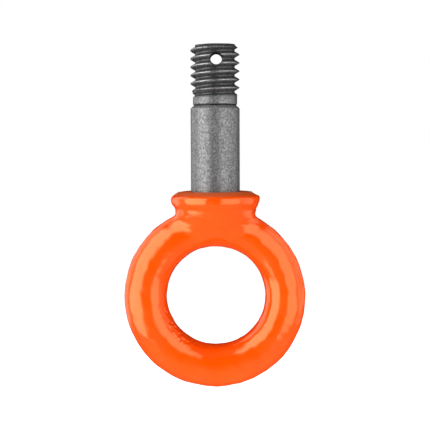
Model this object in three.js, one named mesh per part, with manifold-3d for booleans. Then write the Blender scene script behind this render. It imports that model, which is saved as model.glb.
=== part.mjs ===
// A small swivel hoist ring. A forged eye with a round collar turns freely on a headed bolt. The bolt's
// head sits in a socket bored into the collar, under a caged ball race, and a screwed gland closes the
// socket round the shank. The bolt's plain shank passes through the member that it hangs from, and its
// threaded end takes a slotted nut, which a split pin through the cross hole locks.
//
// Millimetres, +Z up along the bolt. The origin is on the bolt's axis in the plane of the collar's top face,
// which is the seat for the member above. The eye lies in the XZ plane, below the origin.

import * as THREE from "three";
import { mergeVertices } from "three/addons/utils/BufferGeometryUtils.js";
import Module from "manifold-3d";

const INCH = 25.4;

// Bolt: a 3/8-16 UNC thread rolled on a reduced blank, above a full-size plain shank.
const SHANK_R = (3 / 8) * INCH / 2;
const PITCH = INCH / 16;
const CREST_R = SHANK_R - 0.02;
const ROOT_R = SHANK_R - 0.6 * PITCH;
const BLANK_R = 4.3;
const SHANK_TOP = 16.0;
const SHOULDER_TOP = 16.6;
const THREAD_START = 18.0;
const ROOT_RUNOUT = 0.8;
const CREST_START = 18.9;
const CREST_RUNOUT = 1.2;
const BOLT_TOP = 28.2;
const TIP_R = 3.86;
const TIP_SLOPE = 1.15;
const CREST_Z = 26.4;

// Cross hole for the split pin: a little off the axis, and drilled a little out of square.
const PIN_HOLE_R = 1.15;
const PIN_HOLE_X = 0.25;
const PIN_HOLE_Z = 25.55;
const PIN_HOLE_LEAN = 3;

// Eye: a round-section ring that hangs under the collar.
const EYE_INNER_R = 9.6;
const EYE_OUTER_R = 17.85;
const EYE_Z = -20.35;

// Collar: a flat rim, a broad chamfer and an upright band.
const RIM_R = 6.9;
const COLLAR_R = 8.65;
const COLLAR_BAND_TOP = -1.2;
const COLLAR_BAND_BOTTOM = -2.2;

// Neck below the collar, and the crown that runs from it into the eye: [half-width, z], from the bottom up.
const CROWN = [
  [2.0, -10.5],
  [3.2, -9.85],
  [4.4, -9.0],
  [5.5, -8.0],
  [6.5, -6.3],
  [7.35, -4.7],
  [7.75, -3.7],
  [7.95, -3.1],
  [8.5, -2.55],
];

// Socket in the collar, and what it holds, from the top down.
const SOCKET_R = 6.6;
const SOCKET_BOTTOM = -7.3;
const DOME_TOP = -4.85;
const GLAND_TOP = 0;
const GLAND_BOTTOM = -2.4;
const GLAND_R = SOCKET_R - 0.04;
const GLAND_BORE_R = SHANK_R + 0.13;
const SEAL_SECTION_R = 0.43;
const SEAL_Z = -1.2;
const SEAL_GROOVE_R = 5.75;
const RACE_THICKNESS = 0.5;
const RACE_INNER_R = SHANK_R + 0.2;
const RACE_OUTER_R = SOCKET_R - 0.15;
const LIFT = 0.03;
const BALL_R = 0.5;
const BALL_COUNT = 16;
const BALL_CIRCLE_R = (RACE_INNER_R + RACE_OUTER_R) / 2;
const GROOVE_R = 0.55;
const GROOVE_DEPTH = 0.1;
const CAGE_HALF_THICKNESS = 0.25;
const HEAD_R = SOCKET_R - 0.2;
const HEAD_RIM = 0.45;
const HEAD_BOTTOM = -6.95;
const HEAD_END_R = 1.9;
const BUTTON_R = 1.8;
const BUTTON_BOTTOM = -8.2;
const LOCK_PIN_R = 0.55;
const LOCK_PIN_BOTTOM = -1.9;
const FIT = 0.05;

const TURN_SEGMENTS = 48;
const BOLT_SEGMENTS = 32;
const ROWS_PER_PITCH = 6;
const HOLE_SEGMENTS = 16;

const wasm = await Module();
wasm.setup();

const smooth = (t) => THREE.MathUtils.smoothstep(t, 0, 1);

// A solid of revolution about Z. The profile lists [radius, z], anticlockwise seen with the axis on the left.
function turned(profile, segments = TURN_SEGMENTS) {
  const points = profile.map(([r, z]) => new THREE.Vector2(r, z));
  return new THREE.LatheGeometry(points, segments).rotateX(Math.PI / 2);
}

// Points on an elliptical arc about [centreR, centreZ], from one angle to another, in degrees.
function arc(centreR, centreZ, radiusR, radiusZ, from, to, steps) {
  return Array.from({ length: steps + 1 }, (_, i) => {
    const a = THREE.MathUtils.degToRad(from + ((to - from) * i) / steps);
    return [centreR + radiusR * Math.cos(a), centreZ + radiusZ * Math.sin(a)];
  });
}

function toSolid(geometry) {
  const bare = geometry.clone();
  bare.deleteAttribute("normal");
  bare.deleteAttribute("uv");
  const merged = mergeVertices(bare, 1e-4);
  return new wasm.Manifold(
    new wasm.Mesh({
      numProp: 3,
      vertProperties: new Float32Array(merged.attributes.position.array),
      triVerts: new Uint32Array(merged.index.array),
    }),
  );
}

function toGeometry(solid) {
  const mesh = solid.getMesh();
  const geometry = new THREE.BufferGeometry();
  geometry.setAttribute("position", new THREE.BufferAttribute(mesh.vertProperties, 3));
  geometry.setIndex(new THREE.BufferAttribute(mesh.triVerts, 1));
  const flat = geometry.toNonIndexed();
  flat.computeVertexNormals();
  return flat;
}

function cut(geometry, ...tools) {
  return toGeometry(tools.reduce((solid, tool) => solid.subtract(toSolid(tool)), toSolid(geometry)));
}

function join(geometry, ...others) {
  return toGeometry(others.reduce((solid, other) => solid.add(toSolid(other)), toSolid(geometry)));
}

// Radius of the bolt in its threaded length: a right-hand 60-degree thread, chamfered at the tip. At its
// lower end the root runs out on the blank first, and the crest runs out above it.
function threadRadius(angle, z) {
  const phase = (z - CREST_Z) / PITCH - angle / (2 * Math.PI);
  const fromCrest = Math.abs(phase - Math.round(phase)) * 2;
  const flank = THREE.MathUtils.clamp((fromCrest - 0.1) / 0.8, 0, 1);
  const aboveBlank = CREST_R + (ROOT_R - CREST_R) * flank - BLANK_R;
  const runout = aboveBlank > 0 ? (z - CREST_START) / CREST_RUNOUT : (z - THREAD_START) / ROOT_RUNOUT;
  return Math.min(BLANK_R + aboveBlank * smooth(runout), TIP_R + (BOLT_TOP - z) * TIP_SLOPE);
}

function swivelBolt() {
  const headTop = ballCentreZ() - BALL_R - LIFT - RACE_THICKNESS + GROOVE_DEPTH - LIFT;
  const rimBottom = headTop - HEAD_RIM;
  const dome = arc(0, rimBottom, HEAD_R, rimBottom - HEAD_BOTTOM, -90, 0, 6);
  const rows = Math.round(((BOLT_TOP - THREAD_START) / PITCH) * ROWS_PER_PITCH);
  const threadRows = Array.from({ length: rows + 1 }, (_, i) => [
    BLANK_R,
    THREE.MathUtils.lerp(THREAD_START, BOLT_TOP, i / rows),
  ]);
  const profile = [
    [0, HEAD_BOTTOM],
    [HEAD_END_R, HEAD_BOTTOM],
    ...dome.filter(([r]) => r > HEAD_END_R + 0.5),
    [HEAD_R, headTop],
    [SHANK_R, headTop],
    [SHANK_R, SHANK_TOP],
    [BLANK_R, SHOULDER_TOP],
    ...threadRows,
    [0, BOLT_TOP],
  ];
  const geometry = turned(profile, BOLT_SEGMENTS);
  const position = geometry.attributes.position;
  for (let i = 0; i < position.count; i++) {
    const [x, y, z] = [position.getX(i), position.getY(i), position.getZ(i)];
    if (z < THREAD_START - FIT || Math.hypot(x, y) < FIT) continue;
    const angle = Math.atan2(y, x);
    const r = threadRadius(angle, z);
    position.setXY(i, r * Math.cos(angle), r * Math.sin(angle));
  }
  const hole = new THREE.CylinderGeometry(PIN_HOLE_R, PIN_HOLE_R, 4 * SHANK_R, HOLE_SEGMENTS);
  hole.rotateX(THREE.MathUtils.degToRad(PIN_HOLE_LEAN)).translate(PIN_HOLE_X, 0, PIN_HOLE_Z);
  return cut(geometry, hole);
}

function forgedEye() {
  const ringR = (EYE_INNER_R + EYE_OUTER_R) / 2;
  const sectionR = (EYE_OUTER_R - EYE_INNER_R) / 2;
  const ring = new THREE.TorusGeometry(ringR, sectionR, 16, 48).rotateX(Math.PI / 2).translate(0, 0, EYE_Z);
  const collar = turned([
    [0, CROWN[0][1]],
    ...CROWN,
    [COLLAR_R, COLLAR_BAND_BOTTOM],
    [COLLAR_R, COLLAR_BAND_TOP],
    [COLLAR_R - 0.25, COLLAR_BAND_TOP + 0.35],
    [RIM_R, 0],
    [0, 0],
  ]);
  const socket = turned([
    [0, SOCKET_BOTTOM],
    ...arc(0, DOME_TOP, SOCKET_R, DOME_TOP - SOCKET_BOTTOM, -70, 0, 5),
    [SOCKET_R, 1],
    [0, 1],
  ]);
  const buttonPocket = disc(BUTTON_R + FIT, BUTTON_BOTTOM - FIT, DOME_TOP, 0, HOLE_SEGMENTS);
  return cut(join(ring, collar), socket, buttonPocket, lockPinHole());
}

// A plain disc or pin that stands on z from bottom to top, its centre at x on the X axis.
function disc(radius, bottom, top, x, segments) {
  const geometry = new THREE.CylinderGeometry(radius, radius, top - bottom, segments);
  return geometry.rotateX(Math.PI / 2).translate(x, 0, (top + bottom) / 2);
}

// The hole for the lock pin straddles the joint between the gland and the eye, on the eye's right-hand side.
function lockPinHole() {
  return disc(LOCK_PIN_R + FIT, LOCK_PIN_BOTTOM - FIT, 1, SOCKET_R, HOLE_SEGMENTS);
}

function retainingGland() {
  const gland = turned([
    [GLAND_BORE_R, GLAND_BOTTOM],
    [GLAND_R, GLAND_BOTTOM],
    [GLAND_R, GLAND_TOP],
    [GLAND_BORE_R, GLAND_TOP],
    [GLAND_BORE_R, SEAL_Z + SEAL_SECTION_R + FIT],
    [SEAL_GROOVE_R, SEAL_Z + SEAL_SECTION_R + FIT],
    [SEAL_GROOVE_R, SEAL_Z - SEAL_SECTION_R - FIT],
    [GLAND_BORE_R, SEAL_Z - SEAL_SECTION_R - FIT],
    [GLAND_BORE_R, GLAND_BOTTOM],
  ]);
  return cut(gland, lockPinHole());
}

function dustSeal() {
  const centreR = SHANK_R + 0.04 + SEAL_SECTION_R;
  return new THREE.TorusGeometry(centreR, SEAL_SECTION_R, 8, 32).translate(0, 0, SEAL_Z);
}

const upperRaceBottom = () => GLAND_BOTTOM - LIFT - RACE_THICKNESS;
const ballCentreZ = () => upperRaceBottom() + GROOVE_DEPTH - LIFT - BALL_R;

// A thrust washer with a shallow ball groove in the face at faceZ. side is 1 if that face looks up.
function race(faceZ, side) {
  const backZ = faceZ - side * RACE_THICKNESS;
  const half = THREE.MathUtils.radToDeg(Math.acos(1 - GROOVE_DEPTH / GROOVE_R));
  const grooveCentreZ = faceZ + side * (GROOVE_R - GROOVE_DEPTH);
  const from = -side * (90 - half);
  const to = -side * (90 + half);
  const groove = arc(BALL_CIRCLE_R, grooveCentreZ, GROOVE_R, GROOVE_R, from, to, 4);
  const outline = [
    [RACE_INNER_R, backZ],
    [RACE_OUTER_R, backZ],
    [RACE_OUTER_R, faceZ],
    ...groove,
    [RACE_INNER_R, faceZ],
    [RACE_INNER_R, backZ],
  ];
  return turned(side > 0 ? outline : outline.reverse(), TURN_SEGMENTS);
}

function onBallCircle(geometry, i) {
  const angle = (2 * Math.PI * (i + 0.5)) / BALL_COUNT;
  return geometry.translate(BALL_CIRCLE_R * Math.cos(angle), BALL_CIRCLE_R * Math.sin(angle), ballCentreZ());
}

function ballCage() {
  const bottom = ballCentreZ() - CAGE_HALF_THICKNESS;
  const top = ballCentreZ() + CAGE_HALF_THICKNESS;
  const ring = turned([
    [RACE_INNER_R, bottom],
    [RACE_OUTER_R, bottom],
    [RACE_OUTER_R, top],
    [RACE_INNER_R, top],
    [RACE_INNER_R, bottom],
  ]);
  const pockets = Array.from({ length: BALL_COUNT }, (_, i) => {
    const pocket = new THREE.CylinderGeometry(BALL_R + FIT, BALL_R + FIT, 2, 10).rotateX(Math.PI / 2);
    return onBallCircle(pocket, i);
  });
  return cut(ring, ...pockets);
}

const forgedSteel = new THREE.MeshStandardMaterial({ color: "#ff5a05", roughness: 0.25, metalness: 0 });
const phosphatedSteel = new THREE.MeshStandardMaterial({ color: "#77787a", roughness: 0.55, metalness: 0.8 });
const bearingSteel = new THREE.MeshStandardMaterial({ color: "#c8cacc", roughness: 0.15, metalness: 1 });
const brass = new THREE.MeshStandardMaterial({ color: "#b99645", roughness: 0.35, metalness: 1 });
const rubber = new THREE.MeshStandardMaterial({ color: "#141414", roughness: 0.8, metalness: 0 });

const hoistRing = new THREE.Group();
const boltGroup = new THREE.Group();
const eyeGroup = new THREE.Group();
const ballGroup = new THREE.Group();
hoistRing.add(boltGroup, eyeGroup, ballGroup);

function place(group, name, geometry, material) {
  const mesh = new THREE.Mesh(geometry, material);
  mesh.name = name;
  group.add(mesh);
}

place(boltGroup, "swivel_bolt", swivelBolt(), phosphatedSteel);
place(boltGroup, "lower_race", race(ballCentreZ() - BALL_R - LIFT + GROOVE_DEPTH, 1), bearingSteel);

place(eyeGroup, "forged_eye", forgedEye(), forgedSteel);
place(eyeGroup, "retaining_gland", retainingGland(), forgedSteel);
place(eyeGroup, "gland_lock_pin", disc(LOCK_PIN_R, LOCK_PIN_BOTTOM, GLAND_TOP, SOCKET_R, 16), bearingSteel);
place(eyeGroup, "dust_seal", dustSeal(), rubber);
place(eyeGroup, "upper_race", race(upperRaceBottom(), -1), bearingSteel);
place(eyeGroup, "thrust_button", disc(BUTTON_R, BUTTON_BOTTOM, HEAD_BOTTOM - FIT, 0, 24), brass);

place(ballGroup, "ball_cage", ballCage(), brass);
for (let i = 0; i < BALL_COUNT; i++) {
  const ball = new THREE.SphereGeometry(BALL_R, 10, 6).rotateX(Math.PI / 2);
  place(ballGroup, `bearing_ball_${String(i + 1).padStart(2, "0")}`, onBallCircle(ball, i), bearingSteel);
}

export default hoistRing;
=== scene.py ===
"""A small swivel hoist ring: a forged, orange-coated eye that turns on a grey headed bolt.

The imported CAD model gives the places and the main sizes. This script makes the visible surfaces: the
forging with its collar, crown and trimmed flash, the rolled thread, and the bearing inside the collar.
Lengths in the geometry functions are millimetres, in the frame of the CAD model, and mesh_piece() turns
them into metres. Angles are degrees.
"""

import math

import bmesh
import bpy
import numpy as np
from mathutils import Matrix, Vector


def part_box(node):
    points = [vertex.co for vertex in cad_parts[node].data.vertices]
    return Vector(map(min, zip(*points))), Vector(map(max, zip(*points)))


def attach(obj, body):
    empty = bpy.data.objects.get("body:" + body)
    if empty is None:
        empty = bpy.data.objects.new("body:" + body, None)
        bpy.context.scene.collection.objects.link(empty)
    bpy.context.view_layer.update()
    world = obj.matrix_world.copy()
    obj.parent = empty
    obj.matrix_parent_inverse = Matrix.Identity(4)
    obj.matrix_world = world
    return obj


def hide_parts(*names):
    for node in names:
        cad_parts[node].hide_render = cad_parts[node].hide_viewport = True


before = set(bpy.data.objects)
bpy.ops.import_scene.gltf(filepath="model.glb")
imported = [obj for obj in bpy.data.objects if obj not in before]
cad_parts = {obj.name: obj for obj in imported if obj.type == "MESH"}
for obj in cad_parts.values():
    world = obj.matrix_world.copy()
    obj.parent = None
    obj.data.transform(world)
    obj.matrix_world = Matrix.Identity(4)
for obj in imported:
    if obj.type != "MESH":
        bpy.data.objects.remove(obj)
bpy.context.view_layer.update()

MM = 0.001


# ---------------------------------------------------------------- sizes from the frame

def node_box(node):
    low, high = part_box(node)
    return low / MM, high / MM


eye_low, eye_high = node_box("forged_eye")
bolt_low, bolt_high = node_box("swivel_bolt")
gland_low, gland_high = node_box("retaining_gland")
seal_low, seal_high = node_box("dust_seal")
upper_low, upper_high = node_box("upper_race")
lower_low, lower_high = node_box("lower_race")
cage_low, cage_high = node_box("ball_cage")
button_low, button_high = node_box("thrust_button")
pin_low, pin_high = node_box("gland_lock_pin")
ball_names = sorted(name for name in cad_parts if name.startswith("bearing_ball_"))

EYE_OUTER_R = (eye_high.x - eye_low.x) / 2
EYE_INNER_R = 9.6
EYE_Z = eye_low.z + EYE_OUTER_R
STOCK_R = (EYE_OUTER_R - EYE_INNER_R) / 2

SHANK_R = 4.7625
PITCH = 25.4 / 16
BLANK_R = 4.29
CREST_R = SHANK_R - 0.02
ROOT_R = SHANK_R - 0.6 * PITCH
SHANK_TOP = 16.0
SHOULDER_TOP = 16.6
CREST_Z = 26.4
FIRST_ROOT = (18.0, 18.8)
FIRST_CREST = (18.9, 20.1)
BOLT_TOP = bolt_high.z
TIP_R = 3.86
HOLE_R = 1.13
HOLE_X = 0.25
HOLE_Z = 25.55
HOLE_TILT = 3.0

# Between these heights the coat on the collar turns from glossy to darker and dull.
SEAT_EDGE = (-0.85, -0.45)
CROWN_FOOT = -13.0
SOCKET_R = gland_high.x + 0.04
SOCKET_FLOOR = -7.3
DOME_TOP = -4.85
SEAL_GROOVE_R = 5.75
PIN_X = (pin_low.x + pin_high.x) / 2
PIN_HOLE_R = 0.6
RACE_BORE_R = SHANK_R + 0.2
BALL_R = (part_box(ball_names[0])[1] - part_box(ball_names[0])[0]).z / 2 / MM


# ---------------------------------------------------------------- camera, lights and surroundings

# In metres and degrees.
CAMERA_PLACE = (-0.00005, -0.1807, 0.00802)
CAMERA_DOWN = 4.0
CAMERA_ROLL = 0.24
LIGHT_DISTANCE = 0.6
# How far a light's edges fade, as a share of its width and height.
LIGHT_FADE = 0.22


def make_camera():
    camera = bpy.data.cameras.new("camera")
    camera.lens = 77.6
    camera.sensor_width = 36
    camera.clip_start = 0.01
    holder = bpy.data.objects.new("camera", camera)
    holder.location = CAMERA_PLACE
    holder.rotation_euler = (math.radians(90 - CAMERA_DOWN), math.radians(CAMERA_ROLL), 0)
    bpy.context.scene.collection.objects.link(holder)
    bpy.context.scene.camera = holder


def look_at(holder, target):
    direction = Vector(target) - holder.location
    holder.rotation_euler = direction.to_track_quat("-Z", "Y").to_euler()


def soft_box(name, azimuth, elevation, width, height, radiance):
    """An area light aimed at the origin. Azimuth runs from the camera's side, positive to its right."""
    light = bpy.data.lights.new(name, "AREA")
    light.shape = "RECTANGLE"
    light.size = width
    light.size_y = height
    light.energy = radiance * math.pi * width * height
    light.spread = math.radians(180)
    holder = bpy.data.objects.new(name, light)
    a, e = math.radians(azimuth), math.radians(elevation)
    holder.location = (LIGHT_DISTANCE * math.sin(a) * math.cos(e),
                       -LIGHT_DISTANCE * math.cos(a) * math.cos(e),
                       LIGHT_DISTANCE * math.sin(e))
    look_at(holder, (0, 0, 0))
    bpy.context.scene.collection.objects.link(holder)
    fade_edges(light)
    return holder


def fade_edges(light):
    """Fades a light to nothing at its edges."""
    light.use_nodes = True
    nodes, links = light.node_tree.nodes, light.node_tree.links
    split = nodes.new("ShaderNodeSeparateXYZ")
    links.new(nodes.new("ShaderNodeNewGeometry").outputs["Parametric"], split.inputs[0])
    product = nodes.new("ShaderNodeMath")
    product.operation = "MULTIPLY"
    for k, key in enumerate(("X", "Y")):
        from_edge = nodes.new("ShaderNodeMath")
        from_edge.operation = "PINGPONG"
        from_edge.inputs[1].default_value = 0.5
        links.new(split.outputs[key], from_edge.inputs[0])
        fade = nodes.new("ShaderNodeMapRange")
        fade.interpolation_type = "SMOOTHSTEP"
        fade.inputs["From Max"].default_value = LIGHT_FADE
        links.new(from_edge.outputs[0], fade.inputs["Value"])
        links.new(fade.outputs[0], product.inputs[k])
    links.new(product.outputs[0], nodes["Emission"].inputs["Strength"])


def make_lights():
    soft_box("left_box", -59, 11, 0.88, 1.40, 3.1)
    soft_box("left_fill", -120, 12, 0.60, 1.15, 1.1)
    soft_box("right_box", 44, 10, 0.74, 1.15, 1.95)
    soft_box("right_fill", 95, 12, 0.55, 1.15, 1.0)
    overhead = soft_box("overhead_box", 0, 78, 0.70, 0.70, 1.9)
    overhead.visible_glossy = False


def make_world():
    """White where the camera sees it. Lighting and reflections get a dim room with a pale floor in front."""
    world = bpy.data.worlds.new("studio")
    bpy.context.scene.world = world
    world.use_nodes = True
    nodes, links = world.node_tree.nodes, world.node_tree.links
    nodes.clear()
    coordinates = nodes.new("ShaderNodeTexCoord")
    direction = nodes.new("ShaderNodeSeparateXYZ")
    links.new(coordinates.outputs["Generated"], direction.inputs[0])

    def blend(value, low, high, below, above):
        """below where the value is under low, above where it is over high, and smooth between."""
        node = nodes.new("ShaderNodeMapRange")
        node.interpolation_type = "SMOOTHSTEP"
        node.inputs["From Min"].default_value = low
        node.inputs["From Max"].default_value = high
        for key, end in (("To Min", below), ("To Max", above)):
            if isinstance(end, float):
                node.inputs[key].default_value = end
            else:
                links.new(end, node.inputs[key])
        links.new(value, node.inputs["Value"])
        return node.outputs[0]

    room = blend(direction.outputs["Y"], 0.0, 0.7, 0.01, 0.02)
    floor = blend(direction.outputs["Y"], -0.05, 0.35, 0.36, 0.10)
    surroundings = nodes.new("ShaderNodeBackground")
    links.new(blend(direction.outputs["Z"], -0.58, -0.38, floor, room), surroundings.inputs["Strength"])
    seen = nodes.new("ShaderNodeBackground")
    seen.inputs["Color"].default_value = (1, 1, 1, 1)
    path = nodes.new("ShaderNodeLightPath")
    choose = nodes.new("ShaderNodeMixShader")
    links.new(path.outputs["Is Camera Ray"], choose.inputs[0])
    links.new(surroundings.outputs[0], choose.inputs[1])
    links.new(seen.outputs[0], choose.inputs[2])
    output = nodes.new("ShaderNodeOutputWorld")
    links.new(choose.outputs[0], output.inputs[0])


def make_floor():
    bpy.ops.mesh.primitive_plane_add(size=6, location=(0, 0, -0.16))
    floor = bpy.context.object
    floor.name = "studio_floor"
    material = bpy.data.materials.new("studio_floor")
    material.use_nodes = True
    shader = material.node_tree.nodes["Principled BSDF"]
    shader.inputs["Base Color"].default_value = (0.85, 0.85, 0.85, 1)
    shader.inputs["Roughness"].default_value = 0.9
    shader.inputs["Emission Color"].default_value = (1, 1, 1, 1)
    shader.inputs["Emission Strength"].default_value = 1.0
    floor.data.materials.append(material)
    floor.visible_glossy = False


# ---------------------------------------------------------------- materials

class Shader:
    """A material with one Principled shader and a few short ways to add nodes to it."""

    def __init__(self, name):
        self.material = bpy.data.materials.new(name)
        self.material.use_nodes = True
        self.nodes = self.material.node_tree.nodes
        self.links = self.material.node_tree.links
        self.principled = self.nodes["Principled BSDF"]
        self.place = self.nodes.new("ShaderNodeTexCoord").outputs["Object"]

    def set(self, **values):
        for key, value in values.items():
            self.principled.inputs[key.replace("_", " ")].default_value = value

    def noise(self, size, detail=2.0, roughness=0.5, stretch=(1, 1, 1), distortion=0.0):
        """Noise whose lumps are about size millimetres across."""
        mapping = self.nodes.new("ShaderNodeMapping")
        mapping.inputs["Scale"].default_value = stretch
        self.links.new(self.place, mapping.inputs["Vector"])
        texture = self.nodes.new("ShaderNodeTexNoise")
        texture.inputs["Scale"].default_value = 1 / (size * MM)
        texture.inputs["Detail"].default_value = detail
        texture.inputs["Roughness"].default_value = roughness
        texture.inputs["Distortion"].default_value = distortion
        self.links.new(mapping.outputs[0], texture.inputs["Vector"])
        return texture.outputs["Fac"]

    def ramp(self, value, *stops):
        """A colour ramp. Each stop is (position, colour), where a colour is a number or three numbers."""
        ramp = self.nodes.new("ShaderNodeValToRGB")
        elements = ramp.color_ramp.elements
        while len(elements) < len(stops):
            elements.new(0.5)
        for element, (position, colour) in zip(elements, stops):
            element.position = position
            rgb = (colour,) * 3 if isinstance(colour, (int, float)) else colour
            element.color = (*rgb, 1)
        self.links.new(value, ramp.inputs[0])
        return ramp.outputs[0]

    def radius(self):
        """Distance from the Z axis, in millimetres."""
        flat = self.nodes.new("ShaderNodeVectorMath")
        flat.operation = "MULTIPLY"
        flat.inputs[1].default_value = (1 / MM, 1 / MM, 0)
        self.links.new(self.place, flat.inputs[0])
        length = self.nodes.new("ShaderNodeVectorMath")
        length.operation = "LENGTH"
        self.links.new(flat.outputs[0], length.inputs[0])
        return length.outputs["Value"]

    def height(self):
        """Height along the Z axis, in millimetres."""
        split = self.nodes.new("ShaderNodeSeparateXYZ")
        self.links.new(self.place, split.inputs[0])
        scale = self.nodes.new("ShaderNodeMath")
        scale.operation = "MULTIPLY"
        scale.inputs[1].default_value = 1 / MM
        self.links.new(split.outputs["Z"], scale.inputs[0])
        return scale.outputs[0]

    def between(self, value, low, high):
        """0 where the value is under low, 1 where it is over high, and smooth between."""
        node = self.nodes.new("ShaderNodeMapRange")
        node.interpolation_type = "SMOOTHSTEP"
        node.inputs["From Min"].default_value = low
        node.inputs["From Max"].default_value = high
        self.links.new(value, node.inputs["Value"])
        return node.outputs[0]

    def grey(self, level):
        node = self.nodes.new("ShaderNodeRGB")
        node.outputs[0].default_value = (level, level, level, 1)
        return node.outputs[0]

    def mix(self, share, first, second):
        node = self.nodes.new("ShaderNodeMix")
        node.data_type = "RGBA"
        self.links.new(share, node.inputs["Factor"])
        self.links.new(first, node.inputs["A"])
        self.links.new(second, node.inputs["B"])
        return node.outputs["Result"]

    def bump(self, *layers):
        """Adds bump layers in turn. Each is (height socket, depth in millimetres)."""
        normal = None
        for height, depth in layers:
            node = self.nodes.new("ShaderNodeBump")
            node.inputs["Strength"].default_value = 1.0
            node.inputs["Distance"].default_value = depth * MM
            self.links.new(height, node.inputs["Height"])
            if normal:
                self.links.new(normal, node.inputs["Normal"])
            normal = node.outputs[0]
        self.links.new(normal, self.principled.inputs["Normal"])

    def link(self, socket, key):
        self.links.new(socket, self.principled.inputs[key])


def orange_coat():
    """Glossy, apart from the darker, dull seat on top of the collar."""
    shader = Shader("orange_coat")
    shader.set(Metallic=0.0, IOR=1.75, Specular_Tint=(1.0, 0.97, 0.46, 1))
    cloud = shader.noise(6.0, 3)
    unmarked = shader.ramp(cloud, (0.3, (0.76, 0.057, 0.0)), (0.7, (0.83, 0.065, 0.0)))
    # The seat at the top of the collar gets a darker colour than the rest of the coat.
    darker_seat_colour = shader.ramp(cloud, (0.3, (0.40, 0.038, 0.0)), (0.7, (0.48, 0.046, 0.0)))
    seat = shader.between(shader.height(), *SEAT_EDGE)
    shader.link(shader.mix(seat, unmarked, darker_seat_colour), "Base Color")
    glossy = shader.ramp(shader.noise(2.5, 4), (0.35, 0.11), (0.7, 0.19))
    shader.link(shader.mix(seat, glossy, shader.grey(0.6)), "Roughness")
    shader.bump((shader.noise(1.8, 2), 0.022), (shader.noise(0.5, 2), 0.006))
    return shader.material


def phosphated_steel():
    """Grey and grainy on the shank, with painted shade in the groove at the shoulder and in the cross hole.
    The thread is dark in its roots, from oil and painted shade, and burnished on its crests.
    """
    shader = Shader("phosphated_steel")
    shader.set(IOR=1.6)
    grain = shader.noise(0.36, 5, 0.66)
    dry = shader.ramp(grain, (0.34, 0.06), (0.5, 0.155), (0.66, 0.27))
    # Dark in the thread's roots and flanks: partly oil on the thread, partly painted shade.
    root_shade_and_oil = shader.ramp(grain, (0.32, 0.018), (0.68, 0.065))
    burnished = shader.ramp(grain, (0.32, 0.24), (0.68, 0.50))
    radius, height = shader.radius(), shader.height()
    crest = shader.between(radius, CREST_R - 0.30, CREST_R - 0.04)
    on_thread = shader.between(height, FIRST_ROOT[0] - 0.1, FIRST_ROOT[1] - 0.3)
    # Painted shade: a black band in the small groove at the shoulder, where the blank of the thread begins.
    unmarked = shader.between(height, SHOULDER_TOP + 0.12, SHOULDER_TOP + 0.3)
    shoulder_shade_start = shader.between(height, SHOULDER_TOP - 0.12, SHOULDER_TOP)
    # Painted shade, nearly black: used in the groove at the shoulder and inside the cross hole.
    painted_shade = shader.ramp(grain, (0.3, 0.002), (0.7, 0.008))
    plain = shader.mix(shoulder_shade_start, dry, shader.mix(unmarked, painted_shade, dry))
    rolled = shader.mix(crest, root_shade_and_oil, burnished)
    # Painted shade: black inside the cross hole, kept off the end face at the top.
    end_face = shader.between(height, BOLT_TOP - 0.35, BOLT_TOP - 0.2)
    inside = shader.mix(end_face, painted_shade, dry)
    threaded = shader.mix(shader.between(radius, ROOT_R - 0.36, ROOT_R - 0.06), inside, rolled)
    shader.link(shader.mix(on_thread, plain, threaded), "Base Color")
    rough = shader.ramp(shader.noise(0.8, 4), (0.3, 0.32), (0.7, 0.42))
    smoother = shader.ramp(grain, (0.3, 0.24), (0.7, 0.34))
    shader.link(shader.mix(on_thread, rough, smoother), "Roughness")
    metal = shader.mix(crest, shader.grey(0.2), shader.grey(0.9))
    shader.link(shader.mix(on_thread, shader.grey(0.5), metal), "Metallic")
    shader.bump((grain, 0.022), (shader.noise(0.16, 2), 0.008))
    return shader.material


def plain_metal(name, colour, roughness, grain_size, metallic=1.0, grain_stretch=(1, 1, 1)):
    shader = Shader(name)
    shader.set(Metallic=metallic)
    dark = tuple(0.8 * channel for channel in colour)
    grain = shader.noise(grain_size, 4, 0.6, grain_stretch)
    shader.link(shader.ramp(grain, (0.3, dark), (0.7, colour)), "Base Color")
    shader.link(shader.ramp(grain, (0.3, roughness * 1.3), (0.7, roughness * 0.8)), "Roughness")
    shader.bump((grain, 0.004))
    return shader.material


def seal_rubber():
    shader = Shader("seal_rubber")
    fine = shader.noise(0.3, 3)
    shader.link(shader.ramp(fine, (0.3, 0.012), (0.7, 0.03)), "Base Color")
    shader.link(shader.ramp(fine, (0.3, 0.6), (0.7, 0.75)), "Roughness")
    shader.bump((fine, 0.01))
    return shader.material


MATERIALS = {
    "orange_coat": orange_coat(),
    "phosphated_steel": phosphated_steel(),
    "bearing_steel": plain_metal("bearing_steel", (0.60, 0.61, 0.63), 0.14, 0.5),
    "pin_steel": plain_metal("pin_steel", (0.42, 0.42, 0.43), 0.38, 0.3),
    "cage_brass": plain_metal("cage_brass", (0.72, 0.50, 0.20), 0.30, 0.4, grain_stretch=(1, 1, 6)),
    "button_bronze": plain_metal("button_bronze", (0.55, 0.34, 0.18), 0.45, 0.12),
    "seal_rubber": seal_rubber(),
}


# ---------------------------------------------------------------- mesh helpers

def mesh_piece(name, vertices, faces, body, slot, replaced, smooth_angle=40):
    """Makes a piece from millimetre vertices. It rides on body and stands for the CAD nodes in replaced."""
    mesh = bpy.data.meshes.new(name)
    mesh.from_pydata(np.asarray(vertices, float) * MM, [], [tuple(f) for f in faces])
    mesh.validate()
    piece = bpy.data.objects.new(name, mesh)
    bpy.context.scene.collection.objects.link(piece)
    finish_piece(piece, body, slot, replaced, smooth_angle)
    return piece


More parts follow.
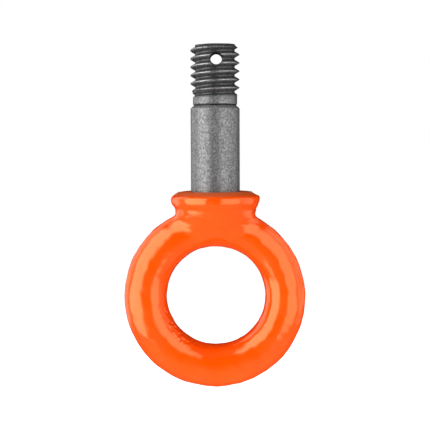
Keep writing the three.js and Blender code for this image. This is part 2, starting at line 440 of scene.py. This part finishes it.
def finish_piece(piece, body, slot, replaced, smooth_angle):
    mesh = piece.data
    mesh.materials.clear()
    mesh.materials.append(MATERIALS[slot])
    mesh.polygons.foreach_set("use_smooth", [True] * len(mesh.polygons))
    mesh.set_sharp_from_angle(angle=math.radians(smooth_angle))
    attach(piece, body)
    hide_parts(*replaced)


def cut_away(piece, tool_mesh):
    """Takes the solid of tool_mesh out of a piece."""
    tool = bpy.data.objects.new(tool_mesh.name, tool_mesh)
    bpy.context.scene.collection.objects.link(tool)
    cut = piece.modifiers.new(tool_mesh.name, "BOOLEAN")
    cut.operation = "DIFFERENCE"
    cut.solver = "EXACT"
    cut.object = tool
    bpy.context.view_layer.objects.active = piece
    bpy.ops.object.modifier_apply(modifier=cut.name)
    bpy.data.objects.remove(tool)


def lathe_faces(rows, segments, closed_profile):
    """Quads between neighbouring rings. Ring k holds the vertices k * segments and on."""
    faces = []
    for k in range(rows if closed_profile else rows - 1):
        below, above = k * segments, ((k + 1) % rows) * segments
        for i in range(segments):
            j = (i + 1) % segments
            faces.append((below + i, below + j, above + j, above + i))
    return faces


def turned(profile, segments=128, closed=False):
    """A solid of revolution about Z from [radius, z] points, anticlockwise with the axis on the left.
    An open profile is closed by a flat cap at each end; a closed one makes a ring."""
    angles = np.arange(segments) * 2 * math.pi / segments
    rings = [np.c_[r * np.cos(angles), r * np.sin(angles), np.full(segments, z)] for r, z in profile]
    faces = lathe_faces(len(profile), segments, closed)
    if not closed:
        last = (len(profile) - 1) * segments
        faces.append(tuple(reversed(range(segments))))
        faces.append(tuple(range(last, last + segments)))
    return np.vstack(rings), faces


def arc(centre_r, centre_z, radius, start, end, steps):
    angles = np.radians(np.linspace(start, end, steps + 1))
    return [(centre_r + radius * math.cos(a), centre_z + radius * math.sin(a)) for a in angles]


def rounded(points, radius, steps=3):
    """A closed profile with its corners rounded off."""
    result = []
    count = len(points)
    for i in range(count):
        before, corner, after = (np.array(points[(i + k) % count], float) for k in (-1, 0, 1))
        towards_before = (before - corner) / np.linalg.norm(before - corner)
        towards_after = (after - corner) / np.linalg.norm(after - corner)
        start, end = corner + towards_before * radius, corner + towards_after * radius
        for t in np.linspace(0, 1, steps + 1):
            result.append(tuple((1 - t) ** 2 * start + 2 * t * (1 - t) * corner + t ** 2 * end))
    return result


def lumps(points, size, seed, waves=14):
    """Smooth irregular noise between about -1 and 1 at an array of points, with lumps about size across."""
    random = np.random.default_rng(seed)
    total = np.zeros(len(points))
    for _ in range(waves):
        direction = random.normal(size=3)
        direction *= 2 * math.pi / (size * 2 * np.linalg.norm(direction)) * random.uniform(0.7, 1.4)
        total += np.sin(points @ direction + random.uniform(0, 2 * math.pi))
    return total / math.sqrt(waves)


# ---------------------------------------------------------------- the forged eye, as a distance field

def smooth_min(a, b, k):
    """The smaller of two values, blended over a range k where they are close."""
    h = np.clip(0.5 + 0.5 * (b - a) / k, 0, 1)
    return b + (a - b) * h - k * h * (1 - h)


def smooth_max(a, b, k):
    return -smooth_min(-a, -b, k)


def smooth_step(x, low, high):
    """0 where x is under low, 1 where it is over high, and smooth between."""
    t = np.clip((x - low) / (high - low), 0, 1)
    return t * t * (3 - 2 * t)


def bell(x, width):
    """1 at 0, falling off smoothly over width on both sides."""
    return np.exp(-(x / width) ** 2)


# At each height: half-width of the collar, neck and crown from front to back, and how much wider they are
# from side to side.
COLLAR_OUTLINE = [
    (-14.0, 1.2, 0.0),
    (-12.0, 1.8, 0.0),
    (-10.4, 2.8, 0.0),
    (-8.0, 4.6, 0.0),
    (-6.3, 6.3, 0.2),
    (-4.85, 7.2, 0.35),
    (-3.9, 7.6, 0.15),
    (-3.25, 7.8, 0.05),
    (-2.55, 8.36, 0.0),
    (-2.1, 8.54, 0.0),
    (-1.3, 8.6, 0.0),
    (-0.85, 8.4, 0.0),
    (-0.08, 6.95, 0.0),
    (0.6, 5.6, 0.0),
]
OUTLINE_Z = np.linspace(-14, 1, 1501)


def smoothed_outline(column):
    z = [row[0] for row in COLLAR_OUTLINE]
    fine = np.interp(OUTLINE_Z, z, [row[column] for row in COLLAR_OUTLINE])
    step = OUTLINE_Z[1] - OUTLINE_Z[0]
    kernel = bell(np.arange(-40, 41) * step, 0.16)
    padded = np.pad(fine, 40, mode="edge")
    return np.convolve(padded, kernel / kernel.sum(), mode="valid")


OUTLINE_R = smoothed_outline(1)
OUTLINE_WIDER = smoothed_outline(2)
OUTLINE_SLOPE = np.gradient(OUTLINE_R, OUTLINE_Z)

# The hole in the eye and its outside aren't quite concentric.
OUTER_SHIFT = (-0.12, -0.28)
INNER_SHIFT = (0.05, -0.06)

# Depth that trimming took off the outer edge of the eye, at angles in degrees from +X towards +Z.
TRIMMED = [
    (-180, 0.12), (-120, 0.02), (-60, 0.08), (-20, 0.26), (0, 0.33), (20, 0.34),
    (40, 0.40), (65, 0.38), (120, 0.17), (145, 0.09), (180, 0.12),
]


def ring_field(p):
    """The ring of the eye: a round section, trimmed flat on its outside."""
    x, y, z = p[:, 0], p[:, 1], p[:, 2] - EYE_Z
    angle = np.arctan2(z, x)
    turn = np.degrees(angle)
    rho = np.hypot(x, z)
    outer = EYE_OUTER_R + 0.05 + OUTER_SHIFT[0] * np.cos(angle) + OUTER_SHIFT[1] * np.sin(angle)
    inner = EYE_INNER_R + 0.08 * np.cos(angle) - 0.11 * np.sin(angle) - 0.05 * np.cos(2 * angle)
    middle = (outer + inner) / 2
    half = (outer - inner) / 2
    off = (rho - middle) / half
    radial = np.hypot(off + 0.08 * (1 - off ** 2), y / STOCK_R)
    tube = (radial - 1) * STOCK_R
    trimmed = np.interp(turn, *zip(*TRIMMED)) + 0.035 * lumps(p, 1.4, 11)
    cut = rho - outer + trimmed
    # Two fine creases beside the trimmed edge, at the upper right.
    creased = smooth_step(turn, -10, 12) * (1 - smooth_step(turn, 70, 84)) * (0.8 + 0.2 * lumps(p, 1.6, 15))
    inward = 0.1 * lumps(p, 2.4, 16) - cut
    crease = 0.14 * bell(inward - 0.85, 0.17) + 0.07 * bell(inward - 0.38, 0.15)
    tube = smooth_max(tube, cut, 0.12) + creased * crease
    # Rough spots on the near side of the hole's edge, at the lower left.
    ragged = bell(y + 2.2, 1.6) * bell(rho - inner, 1.6) * bell(turn + 145, 30)
    return tube - 0.15 * ragged * lumps(p, 0.5, 12)


def collar_field(p):
    """The collar, and the crown that joins it to the ring."""
    rho = np.hypot(p[:, 0], p[:, 1])
    z = p[:, 2]
    sideways = (p[:, 0] / np.maximum(rho, 0.01)) ** 2
    r = np.interp(z, OUTLINE_Z, OUTLINE_R) + sideways * np.interp(z, OUTLINE_Z, OUTLINE_WIDER)
    slope = np.interp(z, OUTLINE_Z, OUTLINE_SLOPE)
    side = (rho - r) / np.sqrt(1 + slope ** 2)
    # Lumps at the left and right ends of the band.
    ends = bell(p[:, 1], 3.6) * smooth_step(np.abs(p[:, 0]), 5.2, 7.2) * smooth_step(z, -4.6, -3.4)
    side = side - ends * (0.07 * lumps(p, 0.7, 13) + 0.05 * lumps(p, 1.5, 14))
    return smooth_max(smooth_max(side, z, 0.12), CROWN_FOOT - z, 0.5)


def socket_field(p):
    """The room inside the collar: bore, dome, the button's pocket and the hole for the lock pin."""
    rho = np.hypot(p[:, 0], p[:, 1])
    z = p[:, 2]
    wall = rho - SOCKET_R
    depth = DOME_TOP - SOCKET_FLOOR
    dome = (np.hypot(rho / SOCKET_R, np.minimum(z - DOME_TOP, 0) / depth) - 1) * depth
    pocket = np.maximum(rho - button_high.x - 0.05, button_low.z - 0.05 - z)
    bowl = np.where(z > DOME_TOP, wall, dome)
    pin = np.maximum(np.hypot(p[:, 0] - PIN_X, p[:, 1]) - PIN_HOLE_R, pin_low.z - 0.05 - z)
    return np.minimum(np.minimum(bowl, np.maximum(pocket, z - DOME_TOP)), pin)


def eye_field(p):
    """Distance from the forging's surface, in millimetres: negative inside."""
    fillet = 0.8 + 1.8 * smooth_step(np.abs(p[:, 1]), 0.5, 4.0)
    body = smooth_min(ring_field(p), collar_field(p), fillet)
    # The hole is narrowest in the middle plane, and its edge is rounded over the stock.
    hole_r = EYE_INNER_R + 0.045 + 0.8 * p[:, 1] ** 2 / (2 * STOCK_R)
    from_axis = np.hypot(p[:, 0] - INNER_SHIFT[0], p[:, 2] - EYE_Z - INNER_SHIFT[1])
    body = smooth_max(body, hole_r - from_axis, 0.25)
    body -= 0.03 * lumps(p, 3.2, 1) + 0.02 * lumps(p, 1.2, 2)
    return smooth_max(body, -socket_field(p), 0.10)


def surface_net(field, low, high, cell):
    """Vertices and quads of the field's zero surface, found on a grid and then drawn onto the surface."""
    counts = np.ceil((np.array(high) - np.array(low)) / cell).astype(int) + 1
    axes = [low[k] + cell * np.arange(counts[k]) for k in range(3)]
    values = np.empty(counts, np.float32)
    for i, x in enumerate(axes[0]):
        y, z = np.meshgrid(axes[1], axes[2], indexing="ij")
        layer = np.c_[np.full(y.size, x), y.ravel(), z.ravel()]
        values[i] = field(layer).reshape(y.shape)
    inside = values < 0
    cells = tuple(c - 1 for c in counts)
    corner_sum = np.zeros(cells, np.int8)
    offsets = [(i, j, k) for i in (0, 1) for j in (0, 1) for k in (0, 1)]
    for i, j, k in offsets:
        corner_sum += inside[i:i + cells[0], j:j + cells[1], k:k + cells[2]]
    active = (corner_sum > 0) & (corner_sum < 8)
    where = np.argwhere(active)
    index = np.full(cells, -1, np.int64)
    index[active] = np.arange(len(where))
    vertices = np.array(low) + cell * (where + 0.5)
    quads = []
    for axis in range(3):
        other = [k for k in range(3) if k != axis]
        near = [slice(None)] * 3
        far = [slice(None)] * 3
        near[axis], far[axis] = slice(0, -1), slice(1, None)
        crossing = inside[tuple(near)] != inside[tuple(far)]
        inner = [slice(None)] * 3
        for k in other:
            inner[k] = slice(1, cells[k])
        edges = np.argwhere(crossing[tuple(inner)])
        for k in other:
            edges[:, k] += 1
        starts_inside = inside[tuple(edges.T)]
        ring = []
        for a, b in ((-1, -1), (0, -1), (0, 0), (-1, 0)):
            cell_of = edges.copy()
            cell_of[:, other[0]] += a
            cell_of[:, other[1]] += b
            ring.append(index[tuple(cell_of.T)])
        ring = np.stack(ring, 1)
        flip = starts_inside if axis != 1 else ~starts_inside
        ring[~flip] = ring[~flip][:, ::-1]
        quads.append(ring)
    quads = np.vstack(quads)
    for _ in range(4):
        vertices = relax(vertices, quads)
        vertices = project(field, vertices, cell)
    return vertices, quads


def relax(vertices, quads):
    """Moves each vertex towards the mean of its neighbours."""
    total = np.zeros_like(vertices)
    count = np.zeros(len(vertices))
    for a in range(4):
        for b in ((a + 1) % 4, (a + 3) % 4):
            np.add.at(total, quads[:, a], vertices[quads[:, b]])
            np.add.at(count, quads[:, a], 1)
    return 0.5 * vertices + 0.5 * total / count[:, None]


def project(field, vertices, cell):
    """Draws vertices onto the zero surface of the field."""
    step = 0.02
    for _ in range(2):
        value = field(vertices)
        gradient = np.empty_like(vertices)
        for k in range(3):
            offset = np.zeros(3)
            offset[k] = step
            gradient[:, k] = (field(vertices + offset) - field(vertices - offset)) / (2 * step)
        steepness = np.maximum((gradient ** 2).sum(1), 0.25)
        move = -value[:, None] * gradient / steepness[:, None]
        vertices = vertices + np.clip(move, -cell, cell)
    return vertices


def make_forged_eye():
    low = (eye_low.x - 1, eye_low.y - 1, eye_low.z - 1)
    high = (eye_high.x + 1, eye_high.y + 1, eye_high.z + 1)
    cell = 0.2
    vertices, quads = surface_net(eye_field, low, high, cell)
    mesh_piece("forged_eye_surface", vertices, quads, "eye", "orange_coat", ["forged_eye"], 50)


# ---------------------------------------------------------------- the bolt

def thread_radius(angle, z):
    """Radius of the threaded length: rounded crests and roots, a run-out onto the blank, and a tip rubbed
    down by wear.
    """
    flank_middle, flank_width = 0.45, 0.66
    phase = (z - CREST_Z) / PITCH - angle / (2 * math.pi)
    from_crest = 2 * np.abs(phase - np.round(phase))
    flank = (from_crest - flank_middle) / flank_width
    flank = smooth_max(smooth_min(flank, np.full_like(flank, 0.5), 0.22), np.full_like(flank, -0.5), 0.16)
    full = CREST_R + (ROOT_R - CREST_R) * (flank + 0.5) - BLANK_R
    crest = np.maximum(full, 0) * smooth_step(z, *FIRST_CREST)
    root = np.minimum(full, 0) * smooth_step(z, *FIRST_ROOT)
    tip = TIP_R + (BOLT_TOP - z) * 1.15
    return smooth_min(BLANK_R + crest + root, tip, 0.12)


def bolt_profile():
    """[radius, z] rings from the head's underside up to the start of the thread."""
    head_top = lower_low.z - 0.03
    rim = head_top - 0.45
    head_r = bolt_high.x
    dome = [(head_r * math.cos(a), rim + (rim - bolt_low.z) * math.sin(a))
            for a in np.radians(np.linspace(-72, 0, 16))]
    return [
        (0.9, bolt_low.z),
        *dome,
        (head_r, head_top - 0.15),
        *arc(head_r - 0.12, head_top - 0.12, 0.12, 0, 90, 3),
        (SHANK_R + 0.25, head_top),
        *arc(SHANK_R + 0.2, head_top + 0.2, 0.2, 270, 180, 3),
        *[(SHANK_R, z) for z in np.linspace(head_top + 0.5, SHANK_TOP - 0.12, 24)],
        *arc(SHANK_R - 0.2, SHANK_TOP - 0.05, 0.2, 0, 50, 3),
        (BLANK_R + 0.02, SHOULDER_TOP - 0.1),
        (BLANK_R - 0.16, SHOULDER_TOP - 0.02),
        (BLANK_R - 0.19, SHOULDER_TOP + 0.12),
        (BLANK_R - 0.03, SHOULDER_TOP + 0.26),
        (BLANK_R, SHOULDER_TOP + 0.3),
    ]


def make_bolt():
    segments = 160
    angles = np.arange(segments) * 2 * math.pi / segments
    rings = []
    for r, z in bolt_profile():
        rings.append(np.c_[r * np.cos(angles), r * np.sin(angles), np.full(segments, z)])
    step = 0.055
    heights = np.arange(SHOULDER_TOP + 0.4, BOLT_TOP - 0.03, step)
    for z in [*heights, BOLT_TOP]:
        level = np.full(segments, z)
        r = thread_radius(np.where(angles > math.pi, angles - 2 * math.pi, angles), level)
        rings.append(np.c_[r * np.cos(angles), r * np.sin(angles), level])
    # The end face is a little dished and out of square.
    top = rings[-1]
    top[:, 2] += 0.14 * (top[:, 0] / TIP_R) ** 2 + 0.012 * top[:, 0] - 0.06
    for share in (0.93, 0.6, 0.3):
        inner = top.copy()
        inner[:, :2] *= share
        rings.append(inner)
    faces = lathe_faces(len(rings), segments, False)
    last = (len(rings) - 1) * segments
    faces.append(tuple(reversed(range(segments))))
    faces.append(tuple(range(last, last + segments)))
    vertices = np.vstack(rings)
    bolt = mesh_piece("bolt_surface", vertices, faces, "bolt", "phosphated_steel", ["swivel_bolt"], 55)
    drill_cross_hole(bolt)


def drill_cross_hole(bolt):
    """Cuts the split pin's hole along Y, with a broken edge at each end."""
    r, reach, broken, edge_y = HOLE_R, 6.0, 0.2, 4.45
    profile = [
        (r + broken + (reach - edge_y) * 0.9, -reach),
        (r, -edge_y + broken),
        (r, edge_y - broken),
        (r + broken + (reach - edge_y) * 0.9, reach),
    ]
    vertices, faces = turned(profile, 48)
    drill = bpy.data.meshes.new("drill")
    drill.from_pydata(vertices * MM, [], faces)
    lean = Matrix.Rotation(math.radians(HOLE_TILT - 90), 4, "X")
    drill.transform(Matrix.Translation((HOLE_X * MM, 0, HOLE_Z * MM)) @ lean)
    cut_away(bolt, drill)
    bolt.data.polygons.foreach_set("use_smooth", [True] * len(bolt.data.polygons))
    bolt.data.set_sharp_from_angle(angle=math.radians(50))


# ---------------------------------------------------------------- what is in the collar

def ring_piece(name, outline, body, slot, replaced, corner):
    vertices, faces = turned(rounded(outline, corner), 128, closed=True)
    return mesh_piece(name, vertices, faces, body, slot, [replaced], 35)


def make_gland():
    bore = SHANK_R + 0.13
    groove_top = seal_high.z + 0.05
    groove_bottom = seal_low.z - 0.05
    outline = [
        (bore, gland_low.z),
        (gland_high.x, gland_low.z),
        (gland_high.x, gland_high.z),
        (bore, gland_high.z),
        (bore, groove_top),
        (SEAL_GROOVE_R, groove_top),
        (SEAL_GROOVE_R, groove_bottom),
        (bore, groove_bottom),
    ]
    gland = ring_piece("gland_surface", outline, "eye", "orange_coat", "retaining_gland", 0.09)
    vertices, faces = turned([(PIN_HOLE_R, pin_low.z - 0.05), (PIN_HOLE_R, 1.0)], 32)
    drill = bpy.data.meshes.new("pin_drill")
    drill.from_pydata((vertices + np.array([PIN_X, 0, 0])) * MM, [], faces)
    cut_away(gland, drill)


def make_lock_pin():
    r = (pin_high.y - pin_low.y) / 2
    profile = [
        (r - 0.1, pin_low.z),
        (r, pin_low.z + 0.1),
        (r, pin_high.z - 0.08),
        (r - 0.08, pin_high.z - 0.01),
    ]
    vertices, faces = turned(profile, 48)
    vertices += np.array([PIN_X, 0, 0])
    mesh_piece("lock_pin_surface", vertices, faces, "eye", "pin_steel", ["gland_lock_pin"], 35)


def make_seal():
    r = (seal_high.z - seal_low.z) / 2
    outline = arc(seal_high.x - r, (seal_high.z + seal_low.z) / 2, r, 0, 345, 23)
    vertices, faces = turned(outline, 128, closed=True)
    mesh_piece("seal_surface", vertices, faces, "eye", "seal_rubber", ["dust_seal"], 60)


def make_races():
    groove_r, depth, circle = 0.55, 0.1, ball_circle()
    half = math.degrees(math.acos(1 - depth / groove_r))
    for name, low, high, body, side in (("upper_race", upper_low, upper_high, "eye", -1),
                                        ("lower_race", lower_low, lower_high, "bolt", 1)):
        face, back = (high.z, low.z) if side > 0 else (low.z, high.z)
        middle = -90 * side
        groove = arc(circle, face + side * (groove_r - depth), groove_r,
                     middle + side * half, middle - side * half, 8)
        c = 0.05
        outline = [
            (RACE_BORE_R + c, back),
            (high.x - c, back),
            (high.x, back + side * c),
            (high.x, face - side * c),
            (high.x - c, face),
            *groove,
            (RACE_BORE_R + c, face),
            (RACE_BORE_R, face - side * c),
            (RACE_BORE_R, back + side * c),
        ]
        if side < 0:
            outline.reverse()
        vertices, faces = turned(outline, 128, closed=True)
        mesh_piece(f"{name}_surface", vertices, faces, body, "bearing_steel", [name], 35)


def ball_centre(name):
    low, high = node_box(name)
    return (low + high) / 2


def ball_circle():
    return math.hypot(*ball_centre(ball_names[0]).xy)


def make_cage():
    outline = [
        (RACE_BORE_R, cage_low.z),
        (cage_high.x, cage_low.z),
        (cage_high.x, cage_high.z),
        (RACE_BORE_R, cage_high.z),
    ]
    cage = ring_piece("cage_surface", outline, "ball_set", "cage_brass", "ball_cage", 0.05)
    drills = bmesh.new()
    for name in ball_names:
        bmesh.ops.create_uvsphere(drills, u_segments=24, v_segments=16, radius=(BALL_R + 0.06) * MM,
                                  matrix=Matrix.Translation(ball_centre(name) * MM))
    pockets = bpy.data.meshes.new("pockets")
    drills.to_mesh(pockets)
    drills.free()
    cut_away(cage, pockets)


def make_balls():
    for name in ball_names:
        shape = bmesh.new()
        bmesh.ops.create_icosphere(shape, subdivisions=4, radius=BALL_R * MM,
                                   matrix=Matrix.Translation(ball_centre(name) * MM))
        mesh = bpy.data.meshes.new(f"{name}_surface")
        shape.to_mesh(mesh)
        shape.free()
        ball = bpy.data.objects.new(f"{name}_surface", mesh)
        bpy.context.scene.collection.objects.link(ball)
        finish_piece(ball, "ball_set", "bearing_steel", [name], 60)


def make_button():
    r, crown_r = button_high.x, 6
    crown = arc(0, button_high.z - crown_r, crown_r, 72.5, 89.5, 6)
    profile = [
        (r - 0.12, button_low.z),
        (r, button_low.z + 0.12),
        (r, button_high.z - 0.4),
        *[(x, z) for x, z in crown if x < r - 0.05],
    ]
    vertices, faces = turned(profile, 64)
    mesh_piece("button_surface", vertices, faces, "eye", "button_bronze", ["thrust_button"], 35)


make_camera()
make_world()
make_lights()
make_floor()
make_forged_eye()
make_bolt()
make_gland()
make_lock_pin()
make_seal()
make_races()
make_cage()
make_balls()
make_button()

bpy.context.scene.view_settings.view_transform = "Standard"
bpy.context.scene.view_settings.look = "None"
